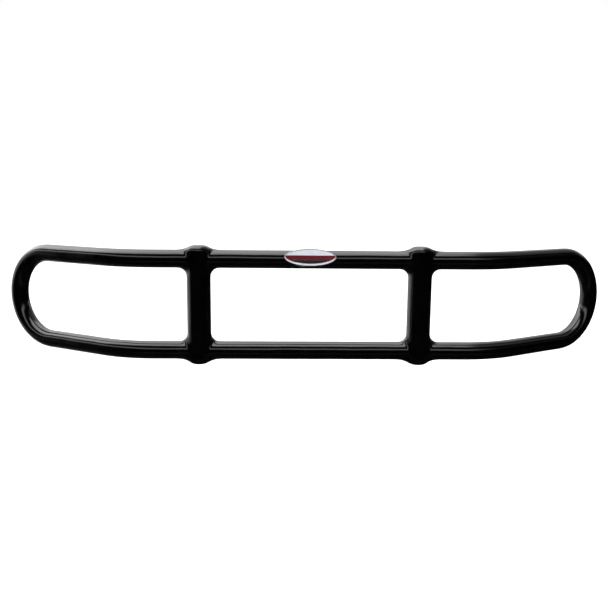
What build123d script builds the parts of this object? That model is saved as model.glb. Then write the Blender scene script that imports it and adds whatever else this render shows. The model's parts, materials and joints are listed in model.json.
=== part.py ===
from math import cos, radians, sin
import os

from build123d import *

# Front grille guard for a heavy truck: a welded steel core inside a moulded black cover,
# hinged on two brackets that bolt to the truck, so that it folds forward and down.
# Millimetres. +X is the truck's left-to-right axis, the front faces -Y, +Z is up.
# The origin is the centre of the four bracket bolts, on the truck's mounting plane.

os.makedirs("parts", exist_ok=True)

# ---------------------------------------------------------------- overall layout
upright_spacing = 864.0  # the uprights stand in front of the truck's two frame rails
rail_pitch = 361.0  # top rail axis to bottom rail axis
kink_half_span = 725.0  # centre plane to the corner where a wing turns back
wing_sweep = 30.0  # degrees, each wing turned back in plan
kink_bend_radius = 400.0  # bend of the rail axis at that corner
wing_reach = 403.0  # that corner to the centre of the end bow, along the wing

# ---------------------------------------------------------------- steel core
rail_tube_diameter = 50.8
rail_tube_wall = 3.0
upright_tube_diameter = 73.0
upright_tube_wall = 4.0
weld_gap = 0.3  # between an upright's cross hole and the rail in it
bow_leg = 80.0  # straight leg of a bow tube, before its bend
splice_length = 120.0
splice_wall = 4.0
splice_clearance = 0.2
cap_thickness = 6.0
cap_clearance = 0.1

# ---------------------------------------------------------------- moulded cover
skin = 10.0
end_rise = 17.6  # top of an upright above the top of the rail
end_skin = 17.5  # cover over the end of an upright's tube
end_round = 13.0
joint_fillet = 15.0
slot_gap = 0.5  # cover to an arm that comes out through it

# ---------------------------------------------------------------- fold hinge and latch
mount_to_pivot = 74.0
pivot_to_upright = 78.0
pivot_height = -185.0
latch_height = 172.0
fold_limit = 90.0  # degrees
arm_thickness = 12.0
arm_nose_radius = 20.0
arm_root_height = 90.0
arm_weld_depth = 6.0  # how far an arm reaches past the back of its tube before it is coped
cheek_thickness = 6.0
cheek_nose_radius = 27.0
pivot_cheek_root = 75.0
latch_cheek_nose = 24.0
latch_cheek_root = 60.0
cheek_foot = 4.0  # parallel strip of a cheek along its base plate
pivot_bolt_radius = 10.0
running_clearance = 0.05
bolt_clearance = 0.1
bush_wall = 2.5
bush_flange_radius = 16.0
bush_flange_thickness = 1.5
cheek_gap = 0.5  # side play of an arm between its cheeks
bolt_head_height = 9.0
bolt_head_flats = 30.0
nut_height = 12.0
thread_end = 3.0  # bolt beyond its nut
washer_thickness = 2.5
washer_radius = 16.5
stop_pin_radius = 6.0
stop_pin_drop = 18.0  # below the pivot
stop_gap = 0.3
latch_tail = 34.0  # latch arm behind its stud
latch_arm_half_height = 26.0
latch_slot_clearance = 0.75
latch_stud_radius = 8.0
latch_head_radius = 15.0
latch_head_height = 8.0
buffer_width = 10.0
buffer_height = 40.0

# ---------------------------------------------------------------- latch knob
knob_radius = 25.0
knob_lobes = 5
knob_notch_radius = 9.0
knob_notch_centre = 5.0  # centre of a notch beyond the knob's rim
knob_notch_round = 2.5
knob_height = 20.0
knob_skirt_height = 8.0
knob_skirt_radius = 16.0
knob_edge = 2.0
knob_gap = 0.3
insert_radius = 11.0
insert_length = 20.0

# ---------------------------------------------------------------- truck brackets
base_thickness = 12.0
base_width = 60.0
base_offset = 12.0  # base plate centre outboard of its upright
base_edge = 8.0  # base plate beyond the cheeks, above and below
base_corner = 8.0
frame_bolt_pitch = 180.0  # vertical distance of a bracket's two bolt holes
frame_bolt_hole_radius = 8.5

# ---------------------------------------------------------------- badge
badge_length = 200.0
badge_height = 68.0
badge_tilt = 18.0  # degrees, the badge looks up by this much
badge_standoff = 2.0  # pad in front of the rail's skin, at its thinnest
pad_depth = 14.0
bezel_width = 3.5
bezel_height = 3.0
face_height = 2.0
inlay_height = 0.8
inlay_margin = 0.5
inlay_lift = 5.5  # the crescent that the inlays leave free below them
band_top = 7.0  # edges of the band across the badge, from its centre
band_bottom = -11.0
inlay_gap = 0.5  # between the band and the lower inlay

# ---------------------------------------------------------------- derived sizes
rail_core_radius = rail_tube_diameter / 2
rail_bore_radius = rail_core_radius - rail_tube_wall
rail_cover_radius = rail_core_radius + skin
upright_core_radius = upright_tube_diameter / 2
upright_bore_radius = upright_core_radius - upright_tube_wall
upright_cover_radius = upright_core_radius + skin
rail_height = rail_pitch / 2
upright_x = upright_spacing / 2
upright_y = -(mount_to_pivot + pivot_to_upright)
upright_end = rail_height + rail_cover_radius + end_rise
core_end = upright_end - end_skin
pivot_y = -mount_to_pivot
splice_reach = wing_reach - bow_leg
wing_angle = radians(wing_sweep)
bush_radius = pivot_bolt_radius + running_clearance + bush_wall
pivot_cheek_face = arm_thickness / 2 + bush_flange_thickness + cheek_gap
latch_cheek_face = arm_thickness / 2 + cheek_gap
pivot_cheek_back = pivot_cheek_face + cheek_thickness
latch_cheek_back = latch_cheek_face + cheek_thickness
base_face_y = -base_thickness
stop_pin_y = pivot_y + arm_nose_radius + stop_gap + stop_pin_radius
stop_pin_height = pivot_height - stop_pin_drop
latch_swing = latch_height - pivot_height  # radius of the latch's path about the pivot
latch_slot_radius = latch_stud_radius + latch_slot_clearance
base_bottom = pivot_height - cheek_nose_radius - base_edge
base_top = latch_height + latch_cheek_root / 2 + base_edge

wing_plane = Plane(
    origin=(
        kink_half_span + wing_reach * cos(wing_angle),
        upright_y + wing_reach * sin(wing_angle),
        0,
    ),
    x_dir=(cos(wing_angle), sin(wing_angle), 0),
    z_dir=(sin(wing_angle), -cos(wing_angle), 0),
)


def save(piece, label):
    """Name a finished piece and write its file."""
    piece.part.label = label
    export_step(piece.part, f"parts/{label}.step")


# ---------------------------------------------------------------- rods along the frame


def rail_rod(height, radius):
    """A round rod along one rail, from the splice in one wing to the splice in the other."""
    tip_x = kink_half_span + splice_reach * cos(wing_angle)
    tip_y = upright_y + splice_reach * sin(wing_angle)
    with BuildPart() as rod:
        with BuildLine(Plane.XY.offset(height)) as route:
            FilletPolyline(
                (-tip_x, tip_y),
                (-kink_half_span, upright_y),
                (kink_half_span, upright_y),
                (tip_x, tip_y),
                radius=kink_bend_radius,
            )
        with BuildSketch(Plane(origin=route.line @ 0, z_dir=route.line % 0)):
            Circle(radius)
        sweep(path=route.line)
    return rod.part


def bow_rod(radius):
    """A round rod round the right-hand end bow, from splice to splice."""
    with BuildPart() as rod:
        with BuildLine(wing_plane) as route:
            Line((-bow_leg, rail_height), (0, rail_height))
            CenterArc((0, 0), rail_height, 90, -180)
            Line((0, -rail_height), (-bow_leg, -rail_height))
        with BuildSketch(Plane(origin=route.line @ 0, z_dir=route.line % 0)):
            Circle(radius)
        sweep(path=route.line)
    return rod.part


def upright_rods(radius, half_length):
    """A round rod along each upright."""
    with BuildPart() as rods:
        with Locations((-upright_x, upright_y, 0), (upright_x, upright_y, 0)):
            Cylinder(radius, 2 * half_length)
    return rods.part


top_core_rod = rail_rod(rail_height, rail_core_radius)
bottom_core_rod = rail_rod(-rail_height, rail_core_radius)
bow_core_rod = bow_rod(rail_core_radius)
upright_core_rods = upright_rods(upright_core_radius, core_end)

# ---------------------------------------------------------------- rails and bows of the core

with BuildPart() as top_rail_core:
    add(top_core_rod)
    add(rail_rod(rail_height, rail_bore_radius), mode=Mode.SUBTRACT)
save(top_rail_core, "top_rail_core")

with BuildPart() as bottom_rail_core:
    add(bottom_core_rod)
    add(rail_rod(-rail_height, rail_bore_radius), mode=Mode.SUBTRACT)
save(bottom_rail_core, "bottom_rail_core")

with BuildPart() as right_bow_core:
    add(bow_core_rod)
    add(bow_rod(rail_bore_radius), mode=Mode.SUBTRACT)
save(right_bow_core, "right_bow_core")

with BuildPart() as left_bow_core:
    mirror(right_bow_core.part, about=Plane.YZ)
save(left_bow_core, "left_bow_core")

# A short sleeve inside each joint of a rail and a bow.
sleeve_radius = rail_bore_radius - splice_clearance
sleeve_start = -bow_leg - splice_length / 2
with BuildPart() as splice_sleeves:
    for height in (rail_height, -rail_height):
        start = wing_plane.from_local_coords((sleeve_start, height, 0))
        with BuildSketch(Plane(origin=start, z_dir=wing_plane.x_dir)):
            Circle(sleeve_radius)
            Circle(sleeve_radius - splice_wall, mode=Mode.SUBTRACT)
        extrude(amount=splice_length)
    mirror(about=Plane.YZ)
save(splice_sleeves, "splice_sleeves")

# ---------------------------------------------------------------- uprights of the core


def upright_core(side):
    """An upright's tube, cross-drilled for the two rails."""
    with BuildPart() as tube:
        with Locations((side * upright_x, upright_y, 0)):
            Cylinder(upright_core_radius, 2 * core_end)
            Cylinder(upright_bore_radius, 2 * core_end, mode=Mode.SUBTRACT)
        for height in (rail_height, -rail_height):
            with Locations((side * upright_x, upright_y, height)):
                Cylinder(
                    rail_core_radius + weld_gap,
                    2 * upright_tube_diameter,
                    rotation=(0, 90, 0),
                    mode=Mode.SUBTRACT,
                )
    return tube


left_upright_core = upright_core(-1)
save(left_upright_core, "left_upright_core")

right_upright_core = upright_core(1)
save(right_upright_core, "right_upright_core")

with BuildPart() as upright_caps:
    for side in (-1, 1):
        for end in (-1, 1):
            with Locations((side * upright_x, upright_y, end * (core_end - cap_thickness / 2))):
                Cylinder(upright_bore_radius - cap_clearance, cap_thickness)
save(upright_caps, "upright_caps")

# ---------------------------------------------------------------- hinge and latch arms
# Profiles lie in planes across X: their first axis is the row's Y, their second is Z.

arm_front_y = upright_y + upright_core_radius - arm_weld_depth
latch_end_y = pivot_y + latch_tail
pivot_arm_middle = pivot_height - arm_nose_radius + arm_root_height / 2


def across(side, offset=0.0):
    """The plane across X at an upright, moved outboard by offset; it always faces +X."""
    return Plane.YZ.offset(side * (upright_x + offset))


def pivot_arm(side):
    """The plate from an upright's back to the pivot, with a round nose and a bushed hole."""
    with BuildPart() as arm:
        with BuildSketch(across(side)):
            with Locations((pivot_y, pivot_height)):
                Circle(arm_nose_radius)
            with Locations((arm_front_y, pivot_height - arm_nose_radius)):
                Rectangle(arm_weld_depth, arm_root_height, align=(Align.MIN, Align.MIN))
            make_hull()
            with Locations((pivot_y, pivot_height)):
                Circle(bush_radius, mode=Mode.SUBTRACT)
        extrude(amount=arm_thickness / 2, both=True)
        add(upright_core_rods, mode=Mode.SUBTRACT)
    return arm


def latch_arm(side):
    """The plate at an upright's top, with a slot that is open at the back for the latch stud."""
    with BuildPart() as arm:
        with BuildSketch(across(side)):
            with Locations((arm_front_y, latch_height)):
                Rectangle(
                    latch_end_y - arm_front_y,
                    2 * latch_arm_half_height,
                    align=(Align.MIN, Align.CENTER),
                )
            with BuildLine(mode=Mode.PRIVATE) as path:
                CenterArc((pivot_y, pivot_height), latch_swing, 90, -12)
            SlotArc(path.line.edge(), 2 * latch_slot_radius, mode=Mode.SUBTRACT)
        extrude(amount=arm_thickness / 2, both=True)
        add(upright_core_rods, mode=Mode.SUBTRACT)
    return arm


left_pivot_arm = pivot_arm(-1)
save(left_pivot_arm, "left_pivot_arm")

right_pivot_arm = pivot_arm(1)
save(right_pivot_arm, "right_pivot_arm")

left_latch_arm = latch_arm(-1)
save(left_latch_arm, "left_latch_arm")

right_latch_arm = latch_arm(1)
save(right_latch_arm, "right_latch_arm")

# Two flanged bushes in each pivot arm, one from each side.
with BuildPart() as pivot_bushes:
    for side in (-1, 1):
        for face in (-1, 1):
            middle = side * upright_x
            with BuildSketch(Plane.YZ.offset(middle)):
                with Locations((pivot_y, pivot_height)):
                    Circle(bush_radius)
            extrude(amount=face * arm_thickness / 2)
            with BuildSketch(Plane.YZ.offset(middle + face * arm_thickness / 2)):
                with Locations((pivot_y, pivot_height)):
                    Circle(bush_flange_radius)
            extrude(amount=face * bush_flange_thickness)
        with Locations((side * upright_x, pivot_y, pivot_height)):
            Cylinder(
                pivot_bolt_radius + running_clearance,
                2 * arm_thickness,
                rotation=(0, 90, 0),
                mode=Mode.SUBTRACT,
            )
save(pivot_bushes, "pivot_bushes")

# ---------------------------------------------------------------- moulded cover

top_cover_rod = rail_rod(rail_height, rail_cover_radius)
bottom_cover_rod = rail_rod(-rail_height, rail_cover_radius)
bow_cover_rod = bow_rod(rail_cover_radius)

with BuildPart() as moulded_cover:
    with Locations((-upright_x, upright_y, 0), (upright_x, upright_y, 0)):
        Cylinder(upright_cover_radius, 2 * upright_end)
    upright_ends = moulded_cover.edges().filter_by(GeomType.CIRCLE)
    fillet(upright_ends, end_round)
    add(top_cover_rod)
    add(bottom_cover_rod)
    tee_edges = moulded_cover.edges().filter_by(GeomType.BSPLINE)
    fillet(tee_edges, joint_fillet)
    add(bow_cover_rod)
    mirror(bow_cover_rod, about=Plane.YZ)
    # The core's room inside the cover.
    add(top_core_rod, mode=Mode.SUBTRACT)
    add(bottom_core_rod, mode=Mode.SUBTRACT)
    add(upright_core_rods, mode=Mode.SUBTRACT)
    add(bow_core_rod, mode=Mode.SUBTRACT)
    mirror(bow_core_rod, about=Plane.YZ, mode=Mode.SUBTRACT)
    # Slots in the uprights' backs, where the arms come out.
    for side in (-1, 1):
        with Locations((side * upright_x, arm_front_y, pivot_arm_middle)):
            Box(
                arm_thickness + 2 * slot_gap,
                upright_tube_diameter,
                arm_root_height + 2 * slot_gap,
                align=(Align.CENTER, Align.MIN, Align.CENTER),
                mode=Mode.SUBTRACT,
            )
        with Locations((side * upright_x, arm_front_y, latch_height)):
            Box(
                arm_thickness + 2 * slot_gap,
                upright_tube_diameter,
                2 * (latch_arm_half_height + slot_gap),
                align=(Align.CENTER, Align.MIN, Align.CENTER),
                mode=Mode.SUBTRACT,
            )
save(moulded_cover, "moulded_cover")

# ---------------------------------------------------------------- badge
# An oval badge on the middle of the top rail, tilted to look up.

tilt = radians(badge_tilt)
badge_normal = (0, -cos(tilt), sin(tilt))
badge_seat = rail_cover_radius + badge_standoff
badge_plane = Plane(
    origin=(0, upright_y - badge_seat * cos(tilt), rail_height + badge_seat * sin(tilt)),
    x_dir=(1, 0, 0),
    z_dir=badge_normal,
)


def oval(inset=0.0, mode=Mode.ADD):
    """The badge's outline, moved in by inset."""
    return Ellipse(badge_length / 2 - inset, badge_height / 2 - inset, mode=mode)


with BuildPart() as badge_pad:
    with BuildSketch(badge_plane):
        oval()
    extrude(amount=-pad_depth)
    add(top_cover_rod, mode=Mode.SUBTRACT)
save(badge_pad, "badge_pad")

with BuildPart() as badge_bezel:
    with BuildSketch(badge_plane):
        oval()
        oval(bezel_width, mode=Mode.SUBTRACT)
    extrude(amount=bezel_height)
    front_edges = badge_bezel.faces().sort_by(Axis(badge_plane.origin, badge_normal))[-1].edges()
    fillet(front_edges, bezel_width / 3)
save(badge_bezel, "badge_bezel")

with BuildPart() as badge_face:
    with BuildSketch(badge_plane):
        oval(bezel_width)
    extrude(amount=face_height)
save(badge_face, "badge_face")


def inlay(top, bottom):
    """A thin plate on the badge's face, between two levels, clear of a crescent at the bottom."""
    with BuildPart() as plate:
        with BuildSketch(badge_plane.offset(face_height)):
            oval(bezel_width + inlay_margin)
            with Locations((0, inlay_lift)):
                oval(bezel_width, mode=Mode.INTERSECT)
            with Locations((0, (top + bottom) / 2)):
                Rectangle(badge_length, top - bottom, mode=Mode.INTERSECT)
        extrude(amount=inlay_height)
    return plate


badge_band = inlay(band_top, band_bottom)
save(badge_band, "badge_band")

badge_inlay = inlay(band_bottom - inlay_gap, -badge_height / 2)
save(badge_inlay, "badge_inlay")

# ---------------------------------------------------------------- truck brackets


def base_plate(side):
    """The plate that bolts to the truck, standing outboard of its upright's centre."""
    middle = (base_bottom + base_top) / 2
    with BuildPart() as plate:
        with Locations((side * (upright_x + base_offset), base_face_y / 2, middle)):
            Box(base_width, base_thickness, base_top - base_bottom)
        fillet(plate.edges().filter_by(Axis.Y), base_corner)
        for end in (-1, 1):
            hole = (side * (upright_x + base_offset), base_face_y / 2, end * frame_bolt_pitch / 2)
            with Locations(hole):
                Cylinder(
                    frame_bolt_hole_radius,
                    2 * base_thickness,
                    rotation=(90, 0, 0),
                    mode=Mode.SUBTRACT,
                )
    return plate


def pivot_cheeks(side):
    """The two welded cheeks that hold an upright's pivot bolt and its fold stop."""
    with BuildPart() as cheeks:
        for face in (-1, 1):
            with BuildSketch(across(side, face * pivot_cheek_face)):
                with Locations((pivot_y, pivot_height)):
                    Circle(cheek_nose_radius)
                with Locations((base_face_y, pivot_height - cheek_nose_radius)):
                    Rectangle(
                        cheek_foot,
                        pivot_cheek_root,
                        align=(Align.MAX, Align.MIN),
                    )
                make_hull()
                with Locations((pivot_y, pivot_height)):
                    Circle(pivot_bolt_radius + bolt_clearance, mode=Mode.SUBTRACT)
                with Locations((stop_pin_y, stop_pin_height)):
                    Circle(stop_pin_radius + bolt_clearance, mode=Mode.SUBTRACT)
            extrude(amount=side * face * cheek_thickness)
    return cheeks


def latch_cheeks(side):
    """The two welded cheeks that a latch stud clamps against its arm."""
    with BuildPart() as cheeks:
        for face in (-1, 1):
            with BuildSketch(across(side, face * latch_cheek_face)):
                with Locations((pivot_y, latch_height)):
                    Circle(latch_cheek_nose)
                with Locations((base_face_y, latch_height)):
                    Rectangle(
                        cheek_foot,
                        latch_cheek_root,
                        align=(Align.MAX, Align.CENTER),
                    )
                make_hull()
                with Locations((pivot_y, latch_height)):
                    Circle(latch_stud_radius + bolt_clearance, mode=Mode.SUBTRACT)
            extrude(amount=side * face * cheek_thickness)
    return cheeks


left_base_plate = base_plate(-1)
save(left_base_plate, "left_base_plate")

right_base_plate = base_plate(1)
save(right_base_plate, "right_base_plate")

left_pivot_cheeks = pivot_cheeks(-1)
save(left_pivot_cheeks, "left_pivot_cheeks")

right_pivot_cheeks = pivot_cheeks(1)
save(right_pivot_cheeks, "right_pivot_cheeks")

left_latch_cheeks = latch_cheeks(-1)
save(left_latch_cheeks, "left_latch_cheeks")

right_latch_cheeks = latch_cheeks(1)
save(right_latch_cheeks, "right_latch_cheeks")

# ---------------------------------------------------------------- pivot bolts and stops

with BuildPart() as pivot_washers:
    for side in (-1, 1):
        for face in (-1, 1):
            with BuildSketch(across(side, face * pivot_cheek_back)):
                with Locations((pivot_y, pivot_height)):
                    Circle(washer_radius)
                    Circle(pivot_bolt_radius + bolt_clearance, mode=Mode.SUBTRACT)
            extrude(amount=side * face * washer_thickness)
save(pivot_washers, "pivot_washers")

# Bolt heads are inboard, nuts outboard.
clamped_half = pivot_cheek_back + washer_thickness
with BuildPart() as pivot_bolts:
    for side in (-1, 1):
        with BuildSketch(across(side, -clamped_half)):
            with Locations((pivot_y, pivot_height)):
                RegularPolygon(bolt_head_flats / 2, 6, major_radius=False)
        extrude(amount=-side * bolt_head_height)
        with BuildSketch(across(side, -clamped_half)):
            with Locations((pivot_y, pivot_height)):
                Circle(pivot_bolt_radius)
        extrude(amount=side * (2 * clamped_half + nut_height + thread_end))
save(pivot_bolts, "pivot_bolts")

with BuildPart() as pivot_nuts:
    for side in (-1, 1):
        with BuildSketch(across(side, clamped_half)):
            with Locations((pivot_y, pivot_height)):
                RegularPolygon(bolt_head_flats / 2, 6, major_radius=False)
                Circle(pivot_bolt_radius, mode=Mode.SUBTRACT)
        extrude(amount=side * nut_height)
save(pivot_nuts, "pivot_nuts")

# A pin across each pair of pivot cheeks, which the folded arm comes down on.
with BuildPart() as fold_stop_pins:
    for side in (-1, 1):
        with BuildSketch(across(side)):
            with Locations((stop_pin_y, stop_pin_height)):
                Circle(stop_pin_radius)
        extrude(amount=pivot_cheek_back, both=True)
save(fold_stop_pins, "fold_stop_pins")

# A rubber block between each pair of latch cheeks, which the raised arm rests against.
with BuildPart() as rest_buffers:
    for side in (-1, 1):
        with Locations((side * upright_x, base_face_y, latch_height)):
            Box(
                buffer_width,
                base_face_y - latch_end_y - stop_gap,
                buffer_height,
                align=(Align.CENTER, Align.MAX, Align.CENTER),
            )
save(rest_buffers, "rest_buffers")

# ---------------------------------------------------------------- latch studs and knobs

knob_start = latch_cheek_back + washer_thickness + knob_gap

with BuildPart() as latch_washers:
    for side in (-1, 1):
        with BuildSketch(across(side, latch_cheek_back)):
            with Locations((pivot_y, latch_height)):
                Circle(washer_radius)
                Circle(latch_stud_radius + bolt_clearance, mode=Mode.SUBTRACT)
        extrude(amount=side * washer_thickness)
save(latch_washers, "latch_washers")

with BuildPart() as latch_studs:
    for side in (-1, 1):
        with BuildSketch(across(side, -latch_cheek_back)):
            with Locations((pivot_y, latch_height)):
                Circle(latch_head_radius)
        extrude(amount=-side * latch_head_height)
        with BuildSketch(across(side, -latch_cheek_back)):
            with Locations((pivot_y, latch_height)):
                Circle(latch_stud_radius)
        extrude(amount=side * (latch_cheek_back + knob_start + insert_length - knob_gap))
save(latch_studs, "latch_studs")


def knob_insert(side):
    """The brass thread insert in a knob."""
    with BuildPart() as insert:
        with BuildSketch(across(side, knob_start)):
            with Locations((pivot_y, latch_height)):
                Circle(insert_radius)
                Circle(latch_stud_radius + running_clearance, mode=Mode.SUBTRACT)
        extrude(amount=side * insert_length)
    return insert


def latch_knob(side):
    """The lobed hand knob, outboard, with a round skirt towards the cheek."""
    with BuildPart() as knob:
        with BuildSketch(across(side, knob_start)):
            with Locations((pivot_y, latch_height)):
                Circle(knob_skirt_radius)
        extrude(amount=side * knob_skirt_height)
        with BuildSketch(across(side, knob_start + knob_skirt_height)) as grip:
            with Locations((pivot_y, latch_height)):
                Circle(knob_radius)
                with PolarLocations(knob_radius + knob_notch_centre, knob_lobes):
                    Circle(knob_notch_radius, mode=Mode.SUBTRACT)
            fillet(grip.vertices(), knob_notch_round)
        extrude(amount=side * knob_height)
        rim = knob.faces().sort_by(Axis.X)[-1 if side > 0 else 0].edges()
        fillet(rim, knob_edge)
        with BuildSketch(across(side, knob_start)):
            with Locations((pivot_y, latch_height)):
                Circle(insert_radius)
        extrude(amount=side * insert_length, mode=Mode.SUBTRACT)
    return knob


left_knob_insert = knob_insert(-1)
save(left_knob_insert, "left_knob_insert")

right_knob_insert = knob_insert(1)
save(right_knob_insert, "right_knob_insert")

left_latch_knob = latch_knob(-1)
save(left_latch_knob, "left_latch_knob")

right_latch_knob = latch_knob(1)
save(right_latch_knob, "right_latch_knob")
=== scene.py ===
import json
from math import cos, pi, radians, sin, sqrt, tan

import bmesh
import bpy
from mathutils import Matrix, Vector

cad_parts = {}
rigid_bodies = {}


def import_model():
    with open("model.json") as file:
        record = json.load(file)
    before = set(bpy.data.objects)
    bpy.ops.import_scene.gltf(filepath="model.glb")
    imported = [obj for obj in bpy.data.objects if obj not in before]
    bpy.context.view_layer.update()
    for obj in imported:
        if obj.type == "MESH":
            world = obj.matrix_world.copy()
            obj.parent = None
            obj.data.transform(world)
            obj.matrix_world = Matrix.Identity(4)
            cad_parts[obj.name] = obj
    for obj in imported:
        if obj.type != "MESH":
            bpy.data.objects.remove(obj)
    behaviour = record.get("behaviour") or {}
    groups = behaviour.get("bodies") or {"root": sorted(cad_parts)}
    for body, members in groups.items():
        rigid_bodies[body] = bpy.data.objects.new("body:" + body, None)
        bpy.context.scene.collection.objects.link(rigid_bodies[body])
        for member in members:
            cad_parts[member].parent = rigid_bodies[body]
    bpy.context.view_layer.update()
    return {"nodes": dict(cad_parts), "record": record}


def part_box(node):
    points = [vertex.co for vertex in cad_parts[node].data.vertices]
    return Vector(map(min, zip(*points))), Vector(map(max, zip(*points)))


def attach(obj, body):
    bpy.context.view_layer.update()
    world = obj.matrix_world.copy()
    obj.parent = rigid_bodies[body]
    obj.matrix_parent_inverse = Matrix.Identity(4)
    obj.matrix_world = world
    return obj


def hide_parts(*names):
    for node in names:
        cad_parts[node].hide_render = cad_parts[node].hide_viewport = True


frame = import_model()

# Looks of a truck's front grille guard: a gloss black moulded cover on a steel core, an oval
# badge, and black brackets that let it fold forward. Metres; the front faces -Y, +Z is up.

# ------------------------------------------------------------------ sizes, read from the frame


def middle(node):
    low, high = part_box(node)
    return (low + high) / 2


def size(node):
    low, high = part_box(node)
    return high - low


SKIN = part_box("moulded_cover")[1].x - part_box("right_bow_core")[1].x
UPRIGHT = middle("right_upright_core")
UPRIGHT_RADIUS = size("right_upright_core").x / 2 + SKIN
RAIL_RADIUS = size("top_rail_core").z / 2 + SKIN
RAIL_HEIGHT = middle("top_rail_core").z
JOINT = Vector((UPRIGHT.x, UPRIGHT.y, RAIL_HEIGHT))

# The wings' line in plan, as the tubes are bent.
WING_SWEEP = radians(30)
BEND_X = 0.725  # where the straight lines of centre and wing would meet
BEND_RADIUS = 0.400
WING_REACH = 0.403  # from there to the centre of the bow


# ------------------------------------------------------------------ modelling helpers


def add_piece(name, primitive, **settings):
    """Adds a primitive as the only selected object, names it, and bakes its place."""
    bpy.ops.object.select_all(action="DESELECT")
    primitive(**settings)
    piece = bpy.context.active_object
    piece.name = piece.data.name = name
    bpy.ops.object.transform_apply(location=True, rotation=True, scale=True)
    return piece


def edit(piece):
    """Opens a piece in edit mode with nothing selected."""
    bpy.ops.object.select_all(action="DESELECT")
    bpy.context.view_layer.objects.active = piece
    piece.select_set(True)
    bpy.ops.object.mode_set(mode="EDIT")
    bpy.ops.mesh.select_mode(type="VERT")
    bpy.ops.mesh.select_all(action="DESELECT")


def leave():
    bpy.ops.object.mode_set(mode="OBJECT")
    bpy.ops.object.select_all(action="DESELECT")


def pick_vertices(piece, test):
    """Selects the vertices whose place passes a test, and the faces between them."""
    bpy.ops.mesh.select_all(action="DESELECT")
    mesh = bmesh.from_edit_mesh(piece.data)
    for vertex in mesh.verts:
        vertex.select = test(vertex.co)
    mesh.select_flush_mode()
    bmesh.update_edit_mesh(piece.data)


def extrude(*move):
    """Extrudes the selected faces by a move."""
    bpy.ops.mesh.extrude_region_move(TRANSFORM_OT_translate={"value": move})


def turn(steps, angle, centre, axis):
    """Draws the selected faces round an axis, by the right-hand rule."""
    bpy.ops.mesh.spin(steps=steps, angle=-angle, center=centre, axis=axis)


def apply_modifiers(piece):
    bpy.context.view_layer.objects.active = piece
    for modifier in list(piece.modifiers):
        bpy.ops.object.modifier_apply(modifier=modifier.name)


MADE = {}  # the pieces made here and their finishes


def claim(piece, body, finish):
    """Gives a finished piece to the body it moves with and to a material slot."""
    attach(piece, body)
    MADE[piece.name] = finish


def close_up(piece):
    """Turns all faces outward and shades them smoothly."""
    edit(piece)
    bpy.ops.mesh.select_all(action="SELECT")
    bpy.ops.mesh.normals_make_consistent(inside=False)
    leave()
    for face in piece.data.polygons:
        face.use_smooth = True


def join(pieces, name):
    """Joins pieces into one object."""
    bpy.ops.object.select_all(action="DESELECT")
    for piece in pieces:
        piece.select_set(True)
    bpy.context.view_layer.objects.active = pieces[0]
    bpy.ops.object.join()
    pieces[0].name = pieces[0].data.name = name
    bpy.ops.object.select_all(action="DESELECT")
    return pieces[0]


def round_edges(piece, width, segments):
    """Rounds the sharp edges and keeps the faces between them flat to the eye."""
    rounded = piece.modifiers.new("edges", "BEVEL")
    rounded.width = width
    rounded.segments = segments
    rounded.limit_method = "ANGLE"
    rounded.harden_normals = True
    for face in piece.data.polygons:
        face.use_smooth = True
    apply_modifiers(piece)


# ------------------------------------------------------------------ the moulded cover
# One quarter is modelled as a cage of eight-sided rings and mirrored twice. The cage starts as
# a cube where rail and upright cross. Its four sides are drawn out into the rail, both ways,
# into the upright, and into the upright's blunt end. Its corners are first set on the finished
# skin, and settle() then spreads the cage so that the smoothed skin passes through them.

DIAGONAL = sqrt(0.5)
TEE_ROUND = 0.035  # fillet under the rail, where it runs into the upright
RUN_OUT = UPRIGHT_RADIUS + TEE_ROUND  # where the rail is round again
DROP_OUT = RAIL_RADIUS + TEE_ROUND  # where the upright is round again
CREASE = Vector((0.0325, 0.0385))  # x and y of the shallow crease on the rail's front
CORNER_CREASE = Vector((0.0420, 0.0290, 0.0275))  # and between its front and its underside
CROWN = size("moulded_cover").z / 2 - RAIL_HEIGHT  # top of an upright over the rail's axis
CROWN_ROUND = 0.024  # edge of the upright's blunt end
CROWN_DIP = 0.0008  # how far the blunt end's rim lies below its middle
SHOULDER = Vector((0.0580, 0.0395))  # x and z of the slope from the crown down to the rail's top
SLOPE_FOOT = Vector((0.0740, 0.0366))  # and where that slope has nearly reached it
JOINT_BELOW, JOINT_ABOVE = 0.028, 0.026  # where the joint's cube ends on the upright
FIRST_RING = (0.047, 0.057)  # the rail's first ring: how far out in front, and beside that
SECOND_RING = (0.064, 0.076)
NECK_RING = (-0.045, -0.046)  # the upright's first ring, below the joint, in the same way


def sign(value, slack=1e-5):
    return (value > slack) - (value < -slack)


def tee_point(degrees):
    """A point on the fillet under the rail, turning from the rail's underside to the upright."""
    turned = radians(degrees)
    return RUN_OUT - TEE_ROUND * sin(turned), 0, TEE_ROUND * cos(turned) - DROP_OUT


def set_places(cage, places):
    """Moves the selected corners to places from the joint, named by side, depth and height."""
    mesh = bmesh.from_edit_mesh(cage.data)
    for vertex in mesh.verts:
        if vertex.select:
            x, y, z = (sign(c) for c in vertex.co - JOINT)
            reach = places[abs(x), abs(y), z]
            vertex.co = JOINT + Vector((x * reach[0], y * reach[1], reach[2]))
    bmesh.update_edit_mesh(cage.data)


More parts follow.
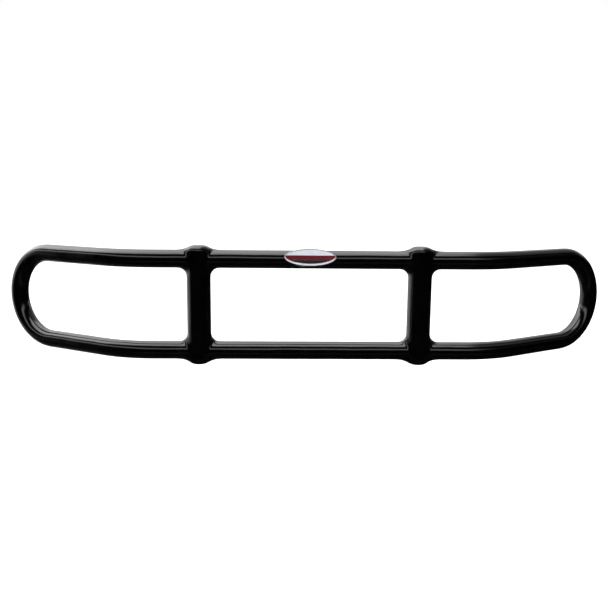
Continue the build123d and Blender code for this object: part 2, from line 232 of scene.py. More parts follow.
def cage_joint():
    """The cube at the crossing of rail and upright."""
    cube = add_piece("cover_skin", bpy.ops.mesh.primitive_cube_add, size=2, location=JOINT)
    edit(cube)
    bpy.ops.mesh.select_all(action="SELECT")
    bpy.ops.mesh.subdivide(number_cuts=1)
    x, y, z = CORNER_CREASE
    places = {
        (0, 1, 0): (0, UPRIGHT_RADIUS, 0),
        (1, 1, 0): (CREASE.x, CREASE.y, 0),
        (1, 0, 0): (CREASE.x, 0, 0),
        (0, 1, -1): (0, UPRIGHT_RADIUS, -JOINT_BELOW),
        (1, 1, -1): (x, y, -z),
        (1, 0, -1): tee_point(45),
        (0, 0, -1): (0, 0, -JOINT_BELOW),
        (0, 1, 1): (0, UPRIGHT_RADIUS, JOINT_ABOVE),
        (1, 1, 1): (x, y, z),
        (1, 0, 1): (SHOULDER.x, 0, SHOULDER.y),
        (0, 0, 1): (0, 0, JOINT_ABOVE),
    }
    set_places(cube, places)
    return cube


def pick_side(cage, direction):
    """Selects the four faces that look out of the joint in a direction."""
    mesh = bmesh.from_edit_mesh(cage.data)
    ends = [v for v in mesh.verts if (v.co - JOINT).cross(Vector(direction)).length < 1e-4]
    end = max(ends, key=lambda v: (v.co - JOINT).dot(Vector(direction)))
    pick_vertices(cage, lambda co: co == end.co)
    bpy.ops.mesh.select_more()


def rail_ring(front, slant, under, over):
    """A round ring of the rail, at its own reach in front, between, underneath and on top."""
    radius, half = RAIL_RADIUS, RAIL_RADIUS * DIAGONAL
    return {
        (1, 0, 0): (slant, 0, 0),
        (1, 1, 0): (front, radius, 0),
        (1, 1, -1): (slant, half, -half),
        (1, 0, -1): (under, 0, -radius),
        (1, 1, 1): (slant, half, half),
        (1, 0, 1): (over, 0, radius),
    }


def draw_rail_start(cage, direction):
    """The rail's first rings, out of the fillets round the upright."""
    pick_side(cage, direction)
    extrude(0, 0, 0)
    first = rail_ring(*FIRST_RING, 0, 0)
    first[1, 0, -1] = tee_point(20)
    first[1, 0, 1] = (SLOPE_FOOT.x, 0, SLOPE_FOOT.y)
    set_places(cage, first)
    extrude(0, 0, 0)
    set_places(cage, rail_ring(*SECOND_RING, RUN_OUT + 0.004, RUN_OUT + 0.010))
    extrude(0, 0, 0)
    end = RUN_OUT + TEE_ROUND
    set_places(cage, rail_ring(end, end, end, end))


def draw_rail_in(cage):
    """The rail from the upright to the middle of the guard."""
    draw_rail_start(cage, (-1, 0, 0))
    half = (JOINT.x - RUN_OUT - TEE_ROUND) / 2
    extrude(-half, 0, 0)
    extrude(-half, 0, 0)
    bpy.ops.mesh.delete(type="FACE")


def draw_rail_out(cage):
    """The rail from the upright out, round the bend, along the wing and down the bow."""
    draw_rail_start(cage, (1, 0, 0))
    tangent = BEND_RADIUS * tan(WING_SWEEP / 2)
    extrude(BEND_X - tangent - JOINT.x - RUN_OUT - TEE_ROUND, 0, 0)
    turn(5, WING_SWEEP, (BEND_X - tangent, JOINT.y + BEND_RADIUS, JOINT.z), (0, 0, 1))
    wing = Vector((cos(WING_SWEEP), sin(WING_SWEEP), 0))
    straight = WING_REACH - tangent
    for share in (0.15, 0.35, 0.35, 0.15):
        extrude(*(wing * straight * share))
    bow_centre = Vector((BEND_X, JOINT.y, 0)) + wing * WING_REACH
    turn(9, pi / 2, bow_centre, (-wing.y, wing.x, 0))
    bpy.ops.mesh.delete(type="FACE")


def upright_ring(front, slant, aside, radius=UPRIGHT_RADIUS):
    """A round ring of the upright, at its own height in front, between and at its sides."""
    half = radius * DIAGONAL
    level = sign(front)
    return {
        (0, 0, level): (0, 0, front),
        (0, 1, level): (0, radius, front),
        (1, 1, level): (half, half, slant),
        (1, 0, level): (radius, 0, aside),
    }


def draw_upright(cage):
    """The upright from its joint down to half height."""
    pick_side(cage, (0, 0, -1))
    extrude(0, 0, 0)
    ring = upright_ring(*NECK_RING, 0)
    ring[1, 0, -1] = tee_point(70)
    set_places(cage, ring)
    for height in (DROP_OUT + 0.004, DROP_OUT + TEE_ROUND, JOINT.z):
        extrude(0, 0, 0)
        set_places(cage, upright_ring(-height, -height, -height))
    bpy.ops.mesh.delete(type="FACE")


def draw_crown(cage):
    """The upright's blunt end: a wide round edge and a low dome, with slopes down to the rail."""
    sloped = ((0.0440, 0.0445), (0.0335, 0.0490), (0.0200, CROWN - CROWN_DIP))
    pick_side(cage, (0, 0, 1))
    for turned, (aside, height) in zip((30, 60, 90), sloped):
        drop = CROWN_ROUND * (1 - sin(radians(turned)))
        inset = CROWN_ROUND * (1 - cos(radians(turned)))
        extrude(0, 0, 0)
        ring = upright_ring(CROWN - drop, CROWN - drop, 0, UPRIGHT_RADIUS - inset)
        ring[1, 0, 1] = (aside, 0, height)
        set_places(cage, ring)


def smoothed_place(vertex):
    """Where subdivision without end takes a corner of a cage of four-sided faces."""
    count = len(vertex.link_edges)
    beside = [edge.other_vert(vertex) for edge in vertex.link_edges]
    total = count * count * vertex.co
    for other in beside:
        total += 4 * other.co
    for face in vertex.link_faces:
        for corner in face.verts:
            if corner != vertex and corner not in beside:
                total += corner.co
    return total / (count * (count + 5))


def settle(cage, rounds=12):
    """Spreads the cage until its smoothed surface passes through its present corners."""
    mesh = bmesh.new()
    mesh.from_mesh(cage.data)
    aims = [vertex.co.copy() for vertex in mesh.verts]
    for _ in range(rounds):
        gaps = [aim - smoothed_place(vertex) for aim, vertex in zip(aims, mesh.verts)]
        for vertex, gap in zip(mesh.verts, gaps):
            vertex.co += gap
    mesh.to_mesh(cage.data)
    mesh.free()


def make_cover():
    cage = cage_joint()
    draw_rail_in(cage)
    draw_rail_out(cage)
    draw_upright(cage)
    draw_crown(cage)
    leave()
    mirror = cage.modifiers.new("mirror", "MIRROR")
    mirror.use_axis = (True, False, True)
    mirror.merge_threshold = 1e-4
    apply_modifiers(cage)
    settle(cage)
    smooth = cage.modifiers.new("smooth", "SUBSURF")
    smooth.levels = smooth.render_levels = 3
    apply_modifiers(cage)
    close_up(cage)
    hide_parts("moulded_cover")
    claim(cage, "guard", "cover_black")


make_cover()

# ------------------------------------------------------------------ bolts, welds and lips

SIDES = (("left", -1), ("right", 1))
PIVOT = middle("pivot_bolts")
CLAMPED_HALF = 0.0165  # from an upright's middle to the bolt's head and to its nut
HEAD_DEPTH, NUT_DEPTH, END_DEPTH = 0.0090, 0.0120, 0.0150  # from where each one seats
FLATS_HALF = 0.0150  # half of what a spanner spans on head and nut
CORNER_ROUND = 0.0011
HEAD_SEAT, NUT_SEAT = 0.0145, 0.0146  # radii of the round faces under head and nut
HEAD_SEAT_DEPTH, NUT_SEAT_DEPTH = 0.0012, 0.0015
HEAD_LIFT, NUT_LIFT = 0.0006, 0.0008  # how far their six sides stand off the washer
SHANK_RADIUS, THREAD_ROOT, POINT_RADIUS = 0.0100, 0.0093, 0.0086
THREAD_PLAIN, THREAD_START = 0.0110, 0.0118  # ends of the plain shank and of the run into the thread
THREAD_PITCH, THREAD_TURNS = 0.0010, 3

BOLT_SIDES, BEAD_SIDES = 24, 10  # of the rings that bolts and weld beads are drawn from
CHEEK_THICKNESS = 0.006
BEAD_CREST, BEAD_TROUGH, BEAD_TIP = 0.0032, 0.0027, 0.0014  # radii of a weld bead
RIPPLE = 0.0015  # from a crest to a trough
BEAD_SHORT = 0.002  # each bead ends this far before its cheek does

ARM_ROOT = (-0.020, 0.070)  # where a pivot arm enters the cover, from the pivot's height
LIP_WIDTH, LIP_DEPTH, LIP_MARGIN = 0.023, 0.009, 0.005
LIP_SUNK = 0.002  # the middle of a lip's depth lies this far inside the cover
LIP_ROUND = 0.0025


def rod(name, rings, centre, axis):
    """A rod along X or Z, through rings given by their place on the axis and their radius."""
    start, radius = rings[0]
    place = list(centre)
    place[axis] = start
    sides = BOLT_SIDES if axis == 0 else BEAD_SIDES
    settings = {"vertices": sides, "radius": radius, "fill_type": "NGON"}
    settings["rotation"] = (0, pi / 2, 0) if axis == 0 else (0, 0, 0)
    piece = add_piece(name, bpy.ops.mesh.primitive_circle_add, location=place, **settings)
    edit(piece)
    bpy.ops.mesh.select_all(action="SELECT")
    for (along, wide), (before, narrow) in zip(rings[1:], rings):
        move = [0, 0, 0]
        move[axis] = along - before
        extrude(*move)
        place[axis] = along
        bpy.ops.transform.resize(value=[wide / narrow] * 3, center_override=place)
    leave()
    close_up(piece)
    return piece


def hexagon(name, start, end):
    """A six-sided head or nut on the hinge's axis, its edges rounded."""
    piece = add_piece(
        name,
        bpy.ops.mesh.primitive_cylinder_add,
        vertices=6,
        radius=FLATS_HALF / cos(pi / 6),
        depth=abs(end - start),
        location=((start + end) / 2, PIVOT.y, PIVOT.z),
        rotation=(0, pi / 2, 0),
    )
    round_edges(piece, CORNER_ROUND, 3)
    return piece


def bolt_rings(head, nut, outward):
    """The round face under the head, the shank, and the thread that shows past the nut."""
    rings = [(head - outward * HEAD_SEAT_DEPTH, HEAD_SEAT), (head, HEAD_SEAT)]
    rings += [(head, SHANK_RADIUS), (nut + outward * THREAD_PLAIN, SHANK_RADIUS)]
    for turned in range(THREAD_TURNS):
        root = nut + outward * (THREAD_START + THREAD_PITCH * turned)
        rings += [(root, THREAD_ROOT), (root + outward * THREAD_PITCH / 2, SHANK_RADIUS)]
    return rings + [(nut + outward * END_DEPTH, POINT_RADIUS)]


def make_hinge_bolts():
    """Bolts with a thread at the end, and their nuts with a round seat."""
    bolts, nuts = [], []
    for side, outward in SIDES:
        head = outward * (UPRIGHT.x - CLAMPED_HALF)
        nut = outward * (UPRIGHT.x + CLAMPED_HALF)
        bolts.append(hexagon(side + "_head", head - outward * HEAD_DEPTH, head - outward * HEAD_LIFT))
        bolts.append(rod(side + "_shank", bolt_rings(head, nut, outward), PIVOT, 0))
        nuts.append(hexagon(side + "_nut", nut + outward * NUT_LIFT, nut + outward * NUT_DEPTH))
        seat = [(nut, NUT_SEAT), (nut + outward * NUT_SEAT_DEPTH, NUT_SEAT)]
        nuts.append(rod(side + "_seat", seat, PIVOT, 0))
    for pieces, name, replaced in (
        (bolts, "hinge_bolts", "pivot_bolts"),
        (nuts, "hinge_nuts", "pivot_nuts"),
    ):
        piece = join(pieces, name)
        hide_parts(replaced)
        claim(piece, "truck_brackets", "zinc_steel")


def bead_rings(low, high):
    """Ripples of a weld bead between two heights, thin at both ends."""
    steps = round((high - low) / RIPPLE)
    step = (high - low) / steps
    ripples = [(low + step * i, BEAD_CREST if i % 2 else BEAD_TROUGH) for i in range(1, steps)]
    return [(low, BEAD_TIP)] + ripples + [(high, BEAD_TIP)]


def make_welds():
    """Weld beads between the cheeks and the base plates."""
    for side, _ in SIDES:
        beads = []
        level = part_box(side + "_base_plate")[0].y
        for part, insides in (("_pivot_cheeks", (0, CHEEK_THICKNESS)), ("_latch_cheeks", (0,))):
            low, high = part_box(side + part)
            rings = bead_rings(low.z + BEAD_SHORT, high.z - BEAD_SHORT)
            for inside in insides:
                for x in (low.x + inside, high.x - inside):
                    beads.append(rod(side + "_bead", rings, (x, level, 0), 2))
        claim(join(beads, side + "_weld_beads"), "truck_brackets", "bracket_black")


def make_lips():
    """Lips of the moulded cover where the arms come out of its back."""
    back = UPRIGHT.y + UPRIGHT_RADIUS
    for side, outward in SIDES:
        for part in ("_pivot_arm", "_latch_arm"):
            low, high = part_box(side + part)
            if part == "_pivot_arm":
                low.z, high.z = (PIVOT.z + end for end in ARM_ROOT)
            lip = add_piece(
                side + part + "_lip",
                bpy.ops.mesh.primitive_cube_add,
                size=1,
                location=(outward * UPRIGHT.x, back - LIP_SUNK, (low.z + high.z) / 2),
                scale=(LIP_WIDTH, LIP_DEPTH, high.z - low.z + 2 * LIP_MARGIN),
            )
            round_edges(lip, LIP_ROUND, 4)
            claim(lip, "guard", "cover_black")


make_hinge_bolts()
make_welds()
make_lips()

# ------------------------------------------------------------------ shading helpers


def node(tree, kind, inputs=None, **settings):
    """Adds a node. Each input is given a value, or another node's output."""
    made = tree.nodes.new(kind)
    for name, value in settings.items():
        setattr(made, name, value)
    for name, value in (inputs or {}).items():
        if isinstance(value, bpy.types.NodeSocket):
            tree.links.new(value, made.inputs[name])
        else:
            made.inputs[name].default_value = value
    return made


def calc(tree, operation, first, second=0.0):
    """One step of arithmetic."""
    return node(tree, "ShaderNodeMath", {0: first, 1: second}, operation=operation).outputs[0]


def remap(tree, value, low, high, new_low=0.0, new_high=1.0):
    """Moves a range of values to another, held at its ends and eased between them."""
    inputs = {"Value": value, 1: low, 2: high, 3: new_low, 4: new_high}
    return node(tree, "ShaderNodeMapRange", inputs, interpolation_type="SMOOTHSTEP").outputs[0]


def blend_colours(tree, mask, first, second):
    """The first colour where the mask is 0, the second where it is 1."""
    inputs = {0: mask, 6: first, 7: second}
    return node(tree, "ShaderNodeMix", inputs, data_type="RGBA").outputs[2]


def object_place(tree, stretch=(1, 1, 1), turned=(0, 0, 0)):
    """The place on the object in metres, stretched and turned."""
    place = node(tree, "ShaderNodeTexCoord").outputs["Object"]
    inputs = {"Vector": place, "Rotation": turned, "Scale": stretch}
    return node(tree, "ShaderNodeMapping", inputs).outputs[0]


def noise(tree, place, scale, detail=2.0, roughness=0.5):
    """Soft noise from about 0 to 1; scale is in patches per metre."""
    inputs = {"Vector": place, "Scale": scale, "Detail": detail, "Roughness": roughness}
    return node(tree, "ShaderNodeTexNoise", inputs).outputs[0]


def new_group(name, inputs, outputs):
    """An empty shader node group with float sockets and their usual values."""
    tree = bpy.data.node_groups.new(name, "ShaderNodeTree")
    for socket, value in inputs.items():
        made = tree.interface.new_socket(socket, in_out="INPUT", socket_type="NodeSocketFloat")
        made.default_value = value
    for socket in outputs:
        tree.interface.new_socket(socket, in_out="OUTPUT", socket_type="NodeSocketFloat")
    return tree, tree.nodes.new("NodeGroupInput").outputs, tree.nodes.new("NodeGroupOutput")


def use_group(tree, group, **values):
    """Places a node group; underscores in the names of its inputs stand for spaces."""
    made = tree.nodes.new("ShaderNodeGroup")
    made.node_tree = group
    for name, value in values.items():
        made.inputs[name.replace("_", " ")].default_value = value
    return made.outputs[0]


# ------------------------------------------------------------------ shared surface effects


def scratch_group():
    """Hair-fine handling scratches in three directions, in patches."""
    tree, given, result = new_group("handling_scratches", {"Amount": 1.0, "Scale": 1.0}, ["Mask"])
    total = 0.0
    for turned in ((0.3, 0.2, 0.5), (1.1, 0.7, 2.0), (0.6, 1.9, 1.2)):
        place = object_place(tree, (9, 260, 260), turned)
        size = calc(tree, "MULTIPLY", given["Scale"], 3.0)
        streaks = noise(tree, place, size, 1.0)
        total = calc(tree, "MAXIMUM", total, remap(tree, streaks, 0.70, 0.76))
    patches = remap(tree, noise(tree, object_place(tree), 14.0, 3.0), 0.45, 0.65)
    mask = calc(tree, "MULTIPLY", calc(tree, "MULTIPLY", total, patches), given["Amount"])
    tree.links.new(mask, result.inputs["Mask"])
    return tree


def moulded_group():
    """The long soft waves of a moulded skin, with a faint peel over them."""
    tree, given, result = new_group("moulded_waves", {"Wave": 1.0, "Peel": 1.0}, ["Height"])
    long_waves = noise(tree, object_place(tree, (0.6, 1, 1)), 9.0, 1.0)
    short_waves = noise(tree, object_place(tree, (0.5, 1, 1)), 34.0, 1.0)
    waves = calc(tree, "ADD", long_waves, calc(tree, "MULTIPLY", short_waves, 0.12))
    waves = calc(tree, "MULTIPLY", waves, given["Wave"])
    peel = calc(tree, "MULTIPLY", noise(tree, object_place(tree), 620.0, 2.0), given["Peel"])
    height = calc(tree, "ADD", waves, calc(tree, "MULTIPLY", peel, 0.004))
    tree.links.new(height, result.inputs["Height"])
    return tree


def wear_group():
    """Edges rubbed bare, unevenly."""
    tree, given, result = new_group("edge_wear", {"Radius": 0.0015, "Amount": 1.0}, ["Mask"])
    rounded = node(tree, "ShaderNodeBevel", {"Radius": given["Radius"]}, samples=4).outputs[0]
    straight = node(tree, "ShaderNodeNewGeometry").outputs["Normal"]
    dot = node(tree, "ShaderNodeVectorMath", {0: rounded, 1: straight}, operation="DOT_PRODUCT")
    edge = remap(tree, dot.outputs["Value"], 0.995, 0.90)
    chips = remap(tree, noise(tree, object_place(tree), 130.0, 5.0, 0.65), 0.44, 0.60)
    mask = calc(tree, "MULTIPLY", calc(tree, "MULTIPLY", edge, chips), given["Amount"])
    tree.links.new(mask, result.inputs["Mask"])
    return tree


def dust_group():
    """Road dust that settles on what faces up, in soft patches."""
    tree, given, result = new_group("settled_dust", {"Amount": 0.3}, ["Mask"])
    normal = node(tree, "ShaderNodeNewGeometry").outputs["Normal"]
    up = node(tree, "ShaderNodeSeparateXYZ", {0: normal}).outputs["Z"]
    facing = remap(tree, up, 0.2, 1.0, 0.12, 1.0)
    patches = remap(tree, noise(tree, object_place(tree), 22.0, 6.0, 0.6), 0.40, 0.72)
    mask = calc(tree, "MULTIPLY", calc(tree, "MULTIPLY", facing, patches), given["Amount"])
    tree.links.new(mask, result.inputs["Mask"])
    return tree


def cloud_group():
    """Cloudy variation of a finish, from 0 to 1."""
    tree, given, result = new_group("cloudy_finish", {"Scale": 40.0}, ["Value"])
    clouds = noise(tree, object_place(tree), given["Scale"], 5.0, 0.6)
    tree.links.new(remap(tree, clouds, 0.3, 0.7), result.inputs["Value"])
    return tree


def grain_group():
    """The pebbled grain of a tool's etched surface."""
    tree, given, result = new_group("moulded_grain", {"Scale": 900.0}, ["Height"])
    inputs = {"Vector": object_place(tree), "Scale": given["Scale"]}
    cells = node(tree, "ShaderNodeTexVoronoi", inputs, feature="SMOOTH_F1").outputs["Distance"]
    tree.links.new(cells, result.inputs["Height"])
    return tree


def turned_group():
    """Fine lathe and draw lines across X, as on bolts, washers and bushes."""
    tree, given, result = new_group("turned_lines", {"Scale": 1.0}, ["Height"])
    place = object_place(tree, (2600, 60, 60))
    tree.links.new(noise(tree, place, given["Scale"], 2.0), result.inputs["Height"])
    return tree


SCRATCHES = scratch_group()
MOULDED = moulded_group()
WEAR = wear_group()
DUST = dust_group()
CLOUDS = cloud_group()
GRAIN = grain_group()
TURNED = turned_group()

# ------------------------------------------------------------------ materials


def new_material(name, **constants):
    """A material with one Principled shader; underscores stand for spaces in its inputs."""
    material = bpy.data.materials.new(name)
    material.use_nodes = True
    shader = material.node_tree.nodes["Principled BSDF"]
    for socket, value in constants.items():
        shader.inputs[socket.replace("_", " ")].default_value = value
    return material, material.node_tree, shader.inputs


def raise_surface(tree, shader_inputs, height, distance, strength=1.0):
    """Bumps the surface by a height that runs from 0 to 1 over a distance in metres."""
    inputs = {"Height": height, "Distance": distance, "Strength": strength}
    tree.links.new(node(tree, "ShaderNodeBump", inputs).outputs[0], shader_inputs["Normal"])


def cover_black():
    """Deep gloss black skin: slow waves, faint peel, fine scratches and a little dust."""
    material, tree, shader = new_material("cover_black", IOR=1.5)
    dust = use_group(tree, DUST, Amount=0.012)
    clouds = use_group(tree, CLOUDS, Scale=12.0)
    scratches = use_group(tree, SCRATCHES, Amount=0.5, Scale=1.0)
    deep = blend_colours(tree, clouds, (0.0004, 0.0004, 0.0005, 1), (0.0010, 0.0010, 0.0012, 1))
    colour = blend_colours(tree, dust, deep, (0.16, 0.15, 0.14, 1))
    tree.links.new(colour, shader["Base Color"])
    smooth = remap(tree, clouds, 0.0, 1.0, 0.10, 0.14)
    rough = calc(tree, "ADD", smooth, calc(tree, "MULTIPLY", scratches, 0.22))
    rough = calc(tree, "ADD", rough, calc(tree, "MULTIPLY", dust, 2.0))
    tree.links.new(rough, shader["Roughness"])
    waves = use_group(tree, MOULDED, Wave=1.0, Peel=1.0)
    height = calc(tree, "SUBTRACT", waves, calc(tree, "MULTIPLY", scratches, 0.01))
    raise_surface(tree, shader, height, 0.0035)
    return material


def core_steel():
    """Plain drawn tube: mill grey with darker scale in patches."""
    material, tree, shader = new_material("core_steel", Metallic=1.0)
    clouds = use_group(tree, CLOUDS, Scale=30.0)
    colour = blend_colours(tree, clouds, (0.30, 0.30, 0.31, 1), (0.46, 0.455, 0.45, 1))
    tree.links.new(colour, shader["Base Color"])
    tree.links.new(remap(tree, clouds, 0.0, 1.0, 0.48, 0.32), shader["Roughness"])
    raise_surface(tree, shader, use_group(tree, TURNED, Scale=0.6), 0.00003)
    return material


def bracket_black():
    """Satin powder coat with orange peel, rubbed to steel along its edges."""
    material, tree, shader = new_material("bracket_black")
    wear = use_group(tree, WEAR, Radius=0.0016, Amount=0.9)
    dust = use_group(tree, DUST, Amount=0.22)
    clouds = use_group(tree, CLOUDS, Scale=55.0)
    coat = blend_colours(tree, clouds, (0.014, 0.014, 0.015, 1), (0.024, 0.024, 0.025, 1))
    dusty = blend_colours(tree, dust, coat, (0.20, 0.18, 0.16, 1))
    colour = blend_colours(tree, wear, dusty, (0.42, 0.41, 0.40, 1))
    tree.links.new(colour, shader["Base Color"])
    tree.links.new(calc(tree, "MULTIPLY", wear, 0.95), shader["Metallic"])
    rough = remap(tree, clouds, 0.0, 1.0, 0.36, 0.46)
    tree.links.new(calc(tree, "ADD", rough, calc(tree, "MULTIPLY", dust, 0.5)), shader["Roughness"])
    peel = noise(tree, object_place(tree), 750.0, 2.0)
    height = calc(tree, "SUBTRACT", peel, calc(tree, "MULTIPLY", wear, 0.8))
    raise_surface(tree, shader, height, 0.00012)
    return material


def zinc_steel():
    """Zinc plate: bright, slightly clouded, with turned lines."""
    material, tree, shader = new_material("zinc_steel", Metallic=1.0)
    clouds = use_group(tree, CLOUDS, Scale=160.0)
    dust = use_group(tree, DUST, Amount=0.25)
    bright = blend_colours(tree, clouds, (0.50, 0.52, 0.55, 1), (0.74, 0.75, 0.76, 1))
    colour = blend_colours(tree, dust, bright, (0.22, 0.20, 0.18, 1))
    tree.links.new(colour, shader["Base Color"])
    rough = remap(tree, clouds, 0.0, 1.0, 0.36, 0.22)
    tree.links.new(calc(tree, "ADD", rough, calc(tree, "MULTIPLY", dust, 0.6)), shader["Roughness"])
    raise_surface(tree, shader, use_group(tree, TURNED, Scale=1.0), 0.00004)
    return material


def bush_bronze():
    """Turned bronze, browner where it is not rubbed."""
    material, tree, shader = new_material("bush_bronze", Metallic=1.0)
    clouds = use_group(tree, CLOUDS, Scale=200.0)
    colour = blend_colours(tree, clouds, (0.36, 0.22, 0.10, 1), (0.68, 0.47, 0.22, 1))
    tree.links.new(colour, shader["Base Color"])
    tree.links.new(remap(tree, clouds, 0.0, 1.0, 0.42, 0.26), shader["Roughness"])
    raise_surface(tree, shader, use_group(tree, TURNED, Scale=1.0), 0.00005)
    return material


def knob_black():
    """Grained black plastic, polished a little by hands along its lobes."""
    material, tree, shader = new_material("knob_black")
    wear = use_group(tree, WEAR, Radius=0.004, Amount=0.7)
    dust = use_group(tree, DUST, Amount=0.2)
    coat = blend_colours(tree, wear, (0.018, 0.018, 0.019, 1), (0.036, 0.036, 0.037, 1))
    tree.links.new(blend_colours(tree, dust, coat, (0.18, 0.17, 0.15, 1)), shader["Base Color"])
    tree.links.new(remap(tree, wear, 0.0, 1.0, 0.55, 0.34), shader["Roughness"])
    raise_surface(tree, shader, use_group(tree, GRAIN, Scale=1100.0), 0.00012)
    return material


def black_rubber():
    """Matt rubber with a pale bloom in patches."""
    material, tree, shader = new_material("black_rubber", Specular_IOR_Level=0.3)
    bloom = use_group(tree, CLOUDS, Scale=70.0)
    colour = blend_colours(tree, bloom, (0.018, 0.018, 0.018, 1), (0.042, 0.041, 0.040, 1))
    tree.links.new(colour, shader["Base Color"])
    tree.links.new(remap(tree, bloom, 0.0, 1.0, 0.72, 0.86), shader["Roughness"])
    raise_surface(tree, shader, use_group(tree, GRAIN, Scale=1600.0), 0.00010)
    return material


def badge_enamel(name, colour, shade, lacquer=0.6, gloss=0.5):
    """Enamel under clear lacquer, slightly uneven, with fine scratches."""
    constants = {"Coat_Weight": lacquer, "Coat_Roughness": 0.05, "Specular_IOR_Level": gloss}
    material, tree, shader = new_material(name, **constants)
    clouds = use_group(tree, CLOUDS, Scale=90.0)
    scratches = use_group(tree, SCRATCHES, Amount=0.8, Scale=1.6)
    tree.links.new(blend_colours(tree, clouds, colour, shade), shader["Base Color"])
    rough = calc(tree, "ADD", calc(tree, "MULTIPLY", scratches, 0.3), 0.16)
    tree.links.new(rough, shader["Roughness"])
    raise_surface(tree, shader, noise(tree, object_place(tree), 160.0, 2.0), 0.00005)
    return material


def badge_print(name, colour, shade):
    """The badge's dark print, with next to no gloss."""
    return badge_enamel(name, colour, shade, lacquer=0, gloss=0.12)


def badge_silver():
    """Bright plated rim with a soft haze."""
    material, tree, shader = new_material("badge_silver", Metallic=1.0)
    clouds = use_group(tree, CLOUDS, Scale=150.0)
    scratches = use_group(tree, SCRATCHES, Amount=0.8, Scale=1.6)
    colour = blend_colours(tree, clouds, (0.30, 0.31, 0.32, 1), (0.42, 0.43, 0.45, 1))
    tree.links.new(colour, shader["Base Color"])
    haze = remap(tree, clouds, 0.0, 1.0, 0.24, 0.16)
    rough = calc(tree, "ADD", haze, calc(tree, "MULTIPLY", scratches, 0.25))
    tree.links.new(rough, shader["Roughness"])
    raise_surface(tree, shader, noise(tree, object_place(tree), 240.0, 2.0), 0.00004)
    return material


FINISHES = {
    "cover_black": cover_black(),
    "core_steel": core_steel(),
    "bracket_black": bracket_black(),
    "zinc_steel": zinc_steel(),
    "bush_bronze": bush_bronze(),
    "knob_black": knob_black(),
    "black_rubber": black_rubber(),
    "badge_silver": badge_silver(),
    "badge_white": badge_enamel("badge_white", (0.66, 0.67, 0.72, 1), (0.60, 0.61, 0.67, 1)),
    "badge_black": badge_print("badge_black", (0.004, 0.004, 0.005, 1), (0.009, 0.009, 0.010, 1)),
    "badge_red": badge_print("badge_red", (0.11, 0.004, 0.010, 1), (0.075, 0.003, 0.007, 1)),
}


def finish_piece(piece, finish):
    """Gives a piece a finish as its only material."""
    piece.data.materials.clear()
    piece.data.materials.append(FINISHES[finish])


for subpart in frame["record"]["subparts"]:
    finish_piece(frame["nodes"][subpart["node"]], subpart["material_slot"])
for name, finish in MADE.items():
    finish_piece(bpy.data.objects[name], finish)

# ------------------------------------------------------------------ camera

FOCAL = 1.167648  # of the frame's width
SENSOR = 36
PAN, TILT, ROLL = 0.027, 0.162, 0.010  # radians, to the right, down and to the left
CAMERA_PLACE = (-0.0955, UPRIGHT.y - 2.748, 0.4547)


def add_camera():
    camera_data = bpy.data.cameras.new("camera")
    camera_data.sensor_width = SENSOR
    camera_data.lens = FOCAL * SENSOR
    camera = bpy.data.objects.new("camera", camera_data)
    bpy.context.scene.collection.objects.link(camera)
    camera.location = CAMERA_PLACE
    forward = Vector((sin(PAN) * cos(TILT), cos(PAN) * cos(TILT), -sin(TILT)))
    level = Vector((cos(PAN), -sin(PAN), 0))
    upward = level.cross(forward)
    across = level * cos(ROLL) + upward * sin(ROLL)
    upward = upward * cos(ROLL) - level * sin(ROLL)
    camera.rotation_mode = "QUATERNION"
    turned = Matrix((across, upward, -forward)).transposed()
    camera.rotation_quaternion = turned.to_quaternion()
    bpy.context.scene.camera = camera


add_camera()

# ------------------------------------------------------------------ studio

SOFTBOX = 5.5  # radiance of the overhead softbox
# Brightness round the studio, as shares of the softbox, at angles in degrees from the front
# horizon, up over the top and down to the rear one; negative angles are below.
STUDIO_RING = (
    (-180, 0.045),
    (-165, 0.020),
    (-150, 0.004),
    (-44, 0.002),
    (-37, 0.024),
    (-30, 0.024),
    (-24, 0.001),
    (19, 0.001),
    (22, 0.50),
    (30, 0.50),
    (34, 0.002),
    (60, 0.004),
    (67, 1.0),
    (110, 1.0),
    (129, 0.51),
    (159, 0.18),
    (180, 0.08),
)
BOWED = 0.44  # how far the softbox's front edge curves back towards its ends
LEFT_LAMP = 0.30  # brightness of the lamp at the left, as a share of the softbox
FLOOR_HEIGHT = -0.7


def product(tree, first, *others):
    """Multiplies two or more values."""
    for other in others:
        first = calc(tree, "MULTIPLY", first, other)
    return first


def ring_light(tree, x, y, z):
    """The lamps in a ring before, over and behind the guard, dimmer towards the right."""
    steepness = calc(tree, "ADD", calc(tree, "ABSOLUTE", z), 0.15)
    bow = calc(tree, "DIVIDE", product(tree, x, x, BOWED), steepness)
    angle = calc(tree, "ARCTAN2", z, calc(tree, "SUBTRACT", bow, y))
    share = node(tree, "ShaderNodeMapRange", {"Value": angle, 1: -pi, 2: pi}).outputs[0]
    ramp = node(tree, "ShaderNodeValToRGB", {0: share})
    stops = ramp.color_ramp.elements
    for degrees, level in STUDIO_RING[1:-1]:
        stops.new((degrees + 180) / 360).color = (level, level, level, 1)
    for stop, (_, level) in ((stops[0], STUDIO_RING[0]), (stops[-1], STUDIO_RING[-1])):
        stop.color = (level, level, level, 1)
    to_right = remap(tree, x, 0.25, 0.95, 1.0, 0.35)
    high_right = remap(tree, product(tree, x, z), 0.12, 0.36, 1.0, 0.15)
    return product(tree, ramp.outputs[0], to_right, high_right)


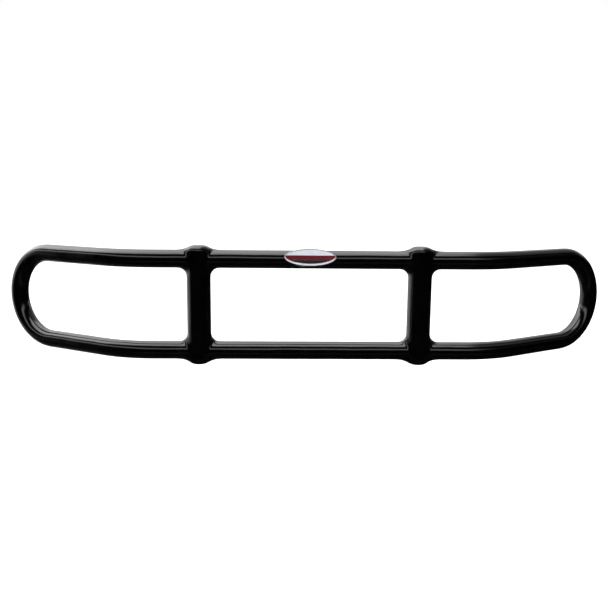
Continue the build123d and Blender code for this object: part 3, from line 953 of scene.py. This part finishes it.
def left_lamp(tree, x, y, z):
    """A dim broad lamp at the left and behind, which reaches lower the further back it is."""
    round_angle = calc(tree, "ARCTAN2", x, product(tree, y, -1.0))
    near = remap(tree, round_angle, radians(-72), radians(-108), 0.0, 1.0)
    far = remap(tree, round_angle, radians(-135), radians(-172), 1.0, 0.3)
    above = remap(tree, z, 0.2, 0.85, LEFT_LAMP, 0.02)
    lowered = remap(tree, round_angle, radians(-100), radians(-130), 0.0, 0.32)
    below = remap(tree, calc(tree, "ADD", z, lowered), -0.12, -0.40, 1.0, 0.04)
    leftward = calc(tree, "LESS_THAN", x, 0.0)
    return product(tree, near, far, above, below, leftward)


def studio_light(tree):
    """Brightness by direction, as a share of the softbox."""
    direction = node(tree, "ShaderNodeTexCoord").outputs["Generated"]
    x, y, z = node(tree, "ShaderNodeSeparateXYZ", {0: direction}).outputs
    return calc(tree, "ADD", ring_light(tree, x, y, z), left_lamp(tree, x, y, z))


def add_world():
    """A dark studio in what is reflected; plain white where the camera looks past the guard."""
    world = bpy.data.worlds.new("studio")
    bpy.context.scene.world = world
    world.use_nodes = True
    tree = world.node_tree
    strength = calc(tree, "MULTIPLY", studio_light(tree), SOFTBOX)
    studio = node(tree, "ShaderNodeBackground", {"Strength": strength}).outputs[0]
    backdrop = node(tree, "ShaderNodeBackground", {"Color": (1, 1, 1, 1)}).outputs[0]
    seen = node(tree, "ShaderNodeLightPath").outputs["Is Camera Ray"]
    mixed = node(tree, "ShaderNodeMixShader", {0: seen, 1: studio, 2: backdrop}).outputs[0]
    tree.links.new(mixed, tree.nodes["World Output"].inputs["Surface"])
    tree.nodes.remove(tree.nodes["Background"])
    bpy.context.scene.view_settings.view_transform = "Standard"


def add_floor():
    """A pale floor, wide enough to reach past the view, which the gloss doesn't reflect."""
    place = (0, 0, FLOOR_HEIGHT)
    floor = add_piece("studio_floor", bpy.ops.mesh.primitive_plane_add, size=60, location=place)
    material, tree, shader = new_material("pale_floor", Roughness=0.9)
    tint = remap(tree, noise(tree, object_place(tree), 0.5), 0.3, 0.7, 0.93, 0.95)
    tree.links.new(tint, shader["Base Color"])
    floor.data.materials.append(material)
    floor.visible_glossy = False


add_world()
add_floor()
